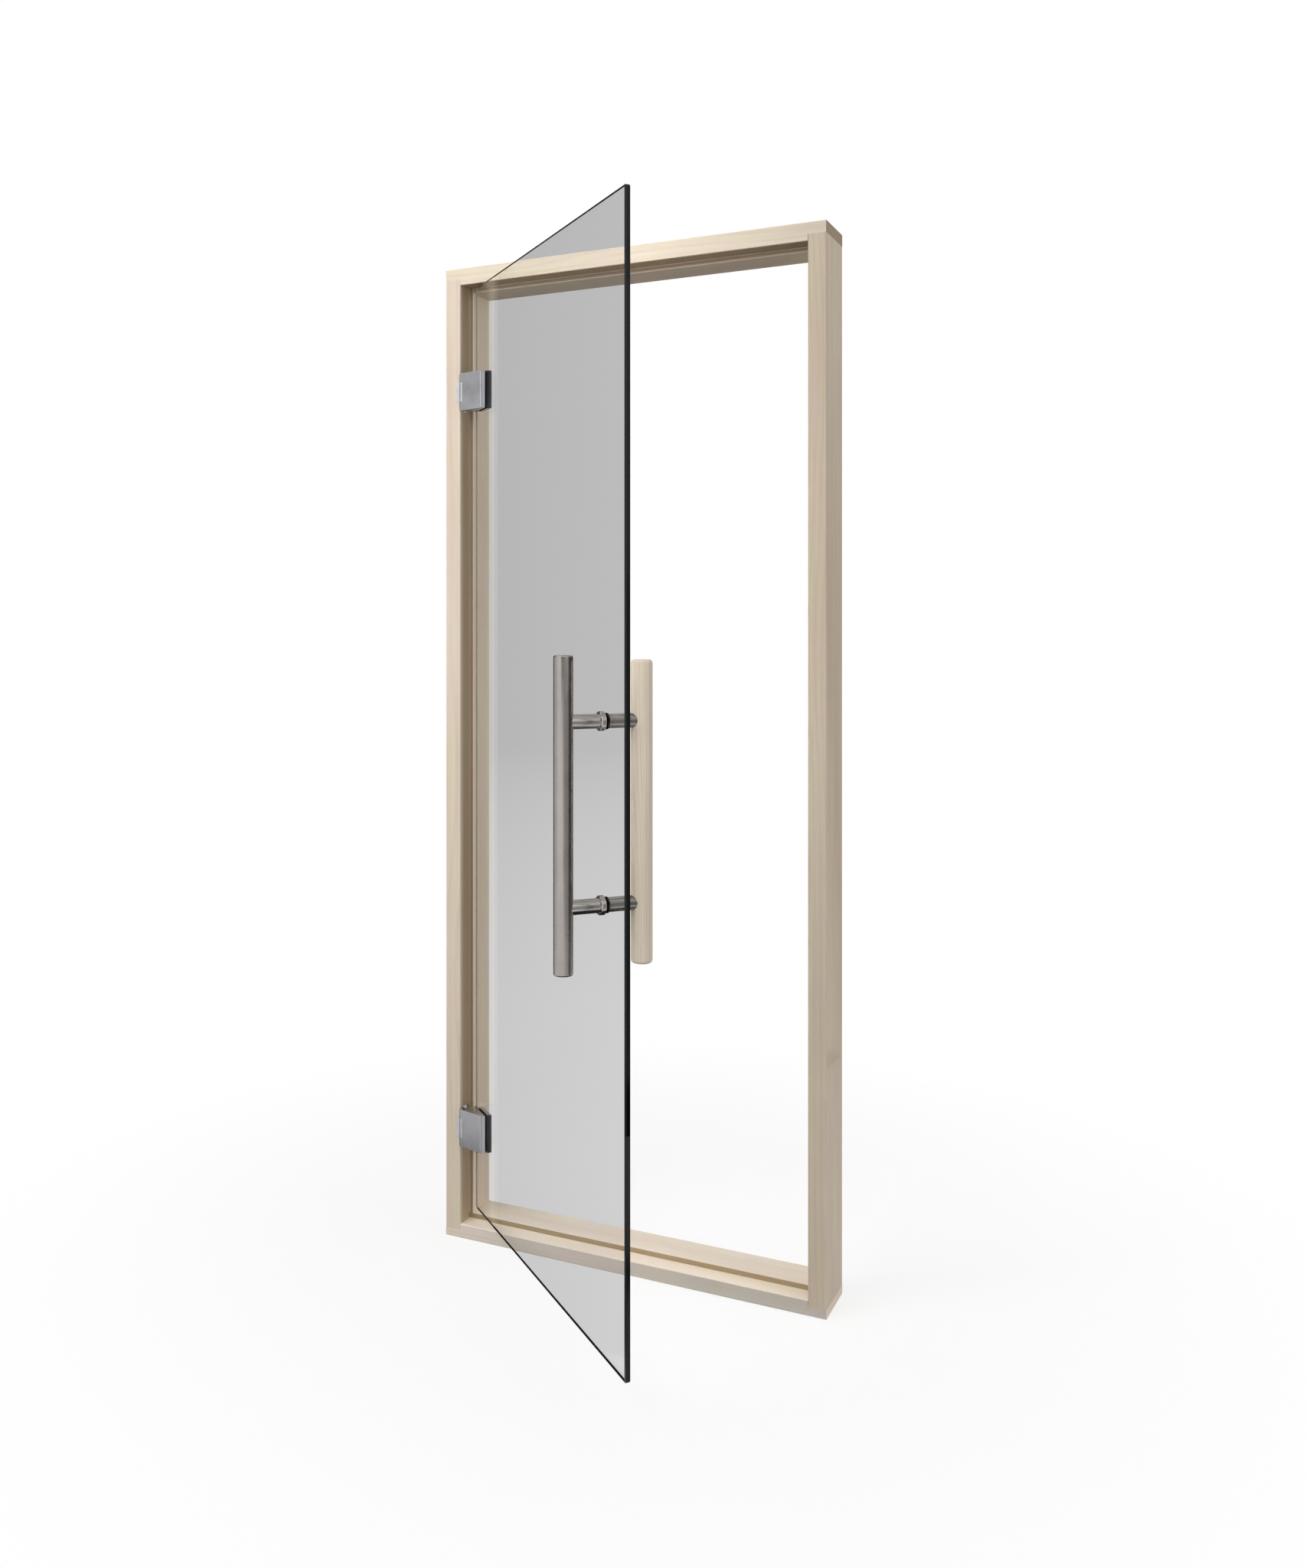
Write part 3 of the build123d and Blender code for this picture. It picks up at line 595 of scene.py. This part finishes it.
# Inside handle: round aspen bar, sanded smooth so that it stays cool to the hand.
# It is bored for the spigots of two short steel standoffs screwed on the outer studs.
# Painted shade: the inner standoffs' steel is a darker copy of the turned steel, for their shade behind the
# glass.
SHADED_STAINLESS = (0.28, 0.265, 0.25, 1)
HANDLE_TONES = ((0.76, 0.685, 0.55, 1), (0.75, 0.645, 0.54, 1), (0.42, 0.32, 0.21, 1))
TIMBER_BAR_ROUNDING = 0.0055
shaded_steel = satin_metal("shaded_standoff_steel", SHADED_STAINLESS, (0.18, 0.28))
bar_aspen = planed_aspen("handle_aspen", Z, pith=(0.245, -0.31), shift=6.1, tones=HANDLE_TONES,
                         ring_width=0.0036)
low, high = shut_box("inside_bar")
timber_bar = place_piece(turned_bar(low, high, TIMBER_BAR_ROUNDING), "turned_inside_bar", "leaf",
                         bar_aspen, TO_REST)
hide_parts("inside_bar")
dress(shaded_steel, "lower_inner_standoff", "upper_inner_standoff")


# Studio: a pale floor that fades to white under three soft lamps, on the left, overhead and on the right.
# Glass sees a greyer room, as it does in the photo, and grey cards stand about for the metal to mirror.
WHITE = (1, 1, 1, 1)
NEAR_THROUGH_GLASS = 0.723
FAR_THROUGH_GLASS = 0.565
MIRRORED_IN_GLASS = 0.04
FILL_LEVEL = 0.48
FLOOR_PAINT = (0.92, 0.92, 0.92, 1)
FLOOR_BOUNCE = (0.30, 0.30, 0.30, 1)
FLOOR_SIZE = 30.0
FLOOR_DROP = 0.0005
SHADOW_SHARE = 0.22
SHADOW_FULL_WITHIN = 0.5
SHADOW_GONE_BEYOND = 1.6
ROOM_NEAR = 0.6
ROOM_FAR = 12.0


def stage_object(name, bm):
    """Object of the studio, which isn't part of the door."""
    mesh = bpy.data.meshes.new(name)
    bm.to_mesh(mesh)
    bm.free()
    made = bpy.data.objects.new(name, mesh)
    bpy.context.scene.collection.objects.link(made)
    return made


def glow(tree, level):
    """White light of one level."""
    return put(tree, "ShaderNodeEmission", {0: WHITE, 1: level}).outputs[0]


def seen_white(tree, rays):
    """Rays that see the white ground: the camera's, and those that metal mirrors."""
    return calculate(tree, "MAXIMUM", rays["Is Camera Ray"], rays["Is Glossy Ray"])


def mirrored_by_glass(tree, rays):
    """Rays that the pane has just mirrored."""
    return calculate(tree, "MULTIPLY", rays["Is Singular Ray"], rays["Is Reflection Ray"])


bm = bmesh.new()
bmesh.ops.create_grid(bm, x_segments=1, y_segments=1, size=FLOOR_SIZE / 2)
bmesh.ops.translate(bm, vec=(0, 0, -FLOOR_DROP), verts=bm.verts)
floor = stage_object("studio_floor", bm)
floor_finish, tree, output = new_finish("studio_floor_white")
rays = put(tree, "ShaderNodeLightPath").outputs
place = put(tree, "ShaderNodeTexCoord").outputs["Object"]
away = calculate_vector(tree, "LENGTH", place)["Value"]
shaded = remap(tree, away, SHADOW_FULL_WITHIN, SHADOW_GONE_BEYOND, to_low=SHADOW_SHARE, to_high=0.0,
               interpolation_type="SMOOTHSTEP")
lit = put(tree, "ShaderNodeBsdfDiffuse", {0: FLOOR_PAINT}).outputs[0]
bounce = put(tree, "ShaderNodeBsdfDiffuse", {0: FLOOR_BOUNCE}).outputs[0]
ground = mix_surfaces(tree, shaded, glow(tree, 1.0), lit)
look = mix_surfaces(tree, seen_white(tree, rays), bounce, ground)
level = remap(tree, away, ROOM_NEAR, ROOM_FAR, to_low=NEAR_THROUGH_GLASS, to_high=FAR_THROUGH_GLASS)
look = mix_surfaces(tree, rays["Is Transmission Ray"], look, glow(tree, level))
look = mix_surfaces(tree, mirrored_by_glass(tree, rays), look, glow(tree, MIRRORED_IN_GLASS))
tree.links.new(look, output.inputs[0])
floor.data.materials.append(floor_finish)

world = bpy.data.worlds.new("studio")
bpy.context.scene.world = world
world.use_nodes = True
tree = world.node_tree
tree.nodes.clear()
rays = put(tree, "ShaderNodeLightPath").outputs
level = remap(tree, seen_white(tree, rays), low=0.0, high=1.0, to_low=FILL_LEVEL, to_high=1.0)
level = remap(tree, rays["Is Transmission Ray"], low=0.0, high=1.0, to_low=level, to_high=FAR_THROUGH_GLASS)
level = remap(tree, mirrored_by_glass(tree, rays), low=0.0, high=1.0, to_low=level,
              to_high=MIRRORED_IN_GLASS)
sky = put(tree, "ShaderNodeBackground", {0: WHITE, 1: level})
put(tree, "ShaderNodeOutputWorld", {0: sky.outputs[0]})


def glowing_sheet(name, bm, level, pick):
    """Sheet that glows for the rays that pick chooses, and lets all others by."""
    sheet = stage_object(name, bm)
    finish, tree, output = new_finish(name + "_paint")
    rays = put(tree, "ShaderNodeLightPath").outputs
    clear = put(tree, "ShaderNodeBsdfTransparent").outputs[0]
    shown = mix_surfaces(tree, pick(tree, rays), clear, glow(tree, level))
    tree.links.new(shown, output.inputs[0])
    sheet.data.materials.append(finish)
    sheet.visible_camera = False
    sheet.visible_diffuse = False
    sheet.visible_shadow = False
    return sheet


BETWEEN_NONE_AND_ONE = 0.5


def not_yet_scattered(tree, rays):
    """Rays that have met no dull surface on their way from the camera."""
    return calculate(tree, "LESS_THAN", rays["Diffuse Depth"], BETWEEN_NONE_AND_ONE)


def mirrored_by_metal(tree, rays):
    """Rays that metal has mirrored, but not those that the pane has just mirrored."""
    mirrored = calculate(tree, "GREATER_THAN", rays["Glossy Depth"], BETWEEN_NONE_AND_ONE)
    return calculate(tree, "SUBTRACT", mirrored, mirrored_by_glass(tree, rays), use_clamp=True)


SCREEN_MARGIN = 0.04
SCREEN_GAP = 0.02


def lamp_screen(name, turn, place, size):
    """Sheet before a lamp that shows the room's grey to a straight look through the glass."""
    bm = bmesh.new()
    span = (size[0] + SCREEN_MARGIN, size[1] + SCREEN_MARGIN, 1)
    stand = Matrix.LocRotScale(place, turn, span) @ Matrix.Translation((0, 0, -SCREEN_GAP))
    bmesh.ops.create_grid(bm, x_segments=1, y_segments=1, size=0.5, matrix=stand)
    screen = glowing_sheet(name, bm, FAR_THROUGH_GLASS, not_yet_scattered)
    screen.visible_glossy = False


def soft_lamp(name, place, target, size, power, screened):
    """Area lamp that neither metal nor glass shows; a screened one still lights what is behind the glass."""
    data = bpy.data.lights.new(name, "AREA")
    data.shape = "RECTANGLE"
    data.size, data.size_y = size
    data.energy = power
    lamp = bpy.data.objects.new(name, data)
    lamp.location = place
    lamp.rotation_euler = (Vector(target) - Vector(place)).to_track_quat("-Z", "Y").to_euler()
    lamp.visible_glossy = False
    bpy.context.scene.collection.objects.link(lamp)
    if screened:
        lamp_screen(name + "_screen", lamp.rotation_euler, place, size)
    else:
        lamp.visible_transmission = False


soft_lamp("key_lamp", (-1.2, -2.7, 2.7), (0, 0, 1.1), (2.8, 2.2), power=69, screened=True)
soft_lamp("overhead_lamp", (-0.2, 0.2, 4.0), (-0.1, 0, 0), (2.0, 1.4), power=12, screened=True)
soft_lamp("side_lamp", (3.0, -0.2, 1.0), (0, 0, 1.0), (1.6, 2.0), power=30, screened=False)


def mirror_card(name, shade, *corners, height=None):
    """Grey card that only metal mirrors: a wall that stands along its corners, or a flat sheet."""
    bm = bmesh.new()
    points = [bm.verts.new(corner) for corner in corners]
    if height is None:
        bm.faces.new(points)
    else:
        foot = [bm.edges.new(pair) for pair in zip(points, points[1:])]
        drawn = bmesh.ops.extrude_edge_only(bm, edges=foot)["geom"]
        top = [part for part in drawn if isinstance(part, bmesh.types.BMVert)]
        bmesh.ops.translate(bm, vec=(0, 0, height), verts=top)
    glowing_sheet(name, bm, shade, mirrored_by_metal)


mirror_card("left_card", 0.04, (-1.7, -0.15, 0), (-1.7, 1.0, 0), height=3.2)
mirror_card("left_floor_card", 0.04, (0.02, -0.56, 0), (0.02, 1.0, 0), (-1.7, 1.0, 0), (-1.7, -0.08, 0))
mirror_card("left_front_card", 0.72, (-1.7, -0.15, 0), (-1.7, -2.2, 0), height=1.5)
mirror_card("upper_hinge_face_card", 0.50, (-1.7, -0.15, 1.5), (-1.7, -1.5, 1.5), height=1.2)
mirror_card("lower_hinge_face_card", 0.64,
            (-1.5, -1.0, 0), (-0.62, -1.0, 0), (-0.62, -0.40, 0), (-1.5, -0.15, 0))
mirror_card("upper_hinge_end_card", 0.85, (1.7, -1.6, 1.4), (1.7, 0.2, 1.4), height=1.2)
mirror_card("lower_hinge_end_card", 0.85, (0.03, -0.6, 0), (0.9, -0.6, 0), (0.9, 0.1, 0), (0.03, 0.1, 0))
mirror_card("upper_ghost_card", 0.03, (3.0, -3.6, 1.4), (0.3, -3.6, 1.4), height=2.4)
mirror_card("lower_ghost_card", 0.03,
            (-0.6, -1.09, 0), (0.9, -1.09, 0), (0.75, -0.62, 0), (-0.45, -0.62, 0))
mirror_card("right_card", 0.07,
            (1.7, -0.45, 0), (1.7, 1.8, 0), (-1.7, 1.8, 0), (-1.7, 1.0, 0), height=2.0)
mirror_card("right_front_card", 0.36, (1.7, -0.45, 0), (1.7, -1.5, 0), height=1.4)
mirror_card("front_card", 0.44, (1.7, -1.5, 0), (1.7, -3.6, 0), height=2.4)
mirror_card("front_floor_card", 0.85, (-1.7, -3.6, 0), (1.7, -3.6, 0), (1.7, -1.1, 0), (-1.7, -1.1, 0))
mirror_card("low_card", 0.02,
            (-0.15, -0.8, 0.45), (0.45, -0.8, 0.45), (0.45, 0.05, 0.45), (-0.15, 0.05, 0.45))

# The photo's camera, solved from the corners of the frame in it; columns and rows are the photo's pixels.
CAMERA_PLACE = (1.0728, -2.4919, 1.2462)
CAMERA_TURN = 26.16
FOCAL_PIXELS = 1793.95
PICTURE_WIDTH = 1706
PICTURE_HEIGHT = 2048
AXIS_COLUMN = 739.55
HORIZON_ROW = 823.9
SENSOR_WIDTH = 36.0
camera_data = bpy.data.cameras.new("camera")
camera_data.sensor_width = SENSOR_WIDTH
camera_data.lens = SENSOR_WIDTH * FOCAL_PIXELS / PICTURE_HEIGHT
camera_data.shift_x = (PICTURE_WIDTH / 2 - AXIS_COLUMN) / PICTURE_HEIGHT
camera_data.shift_y = (HORIZON_ROW - PICTURE_HEIGHT / 2) / PICTURE_HEIGHT
camera = bpy.data.objects.new("camera", camera_data)
camera.location = CAMERA_PLACE
camera.rotation_euler = (math.pi / 2, 0, math.radians(CAMERA_TURN))
bpy.context.scene.collection.objects.link(camera)
bpy.context.scene.camera = camera
bpy.context.scene.view_settings.view_transform = "Standard"
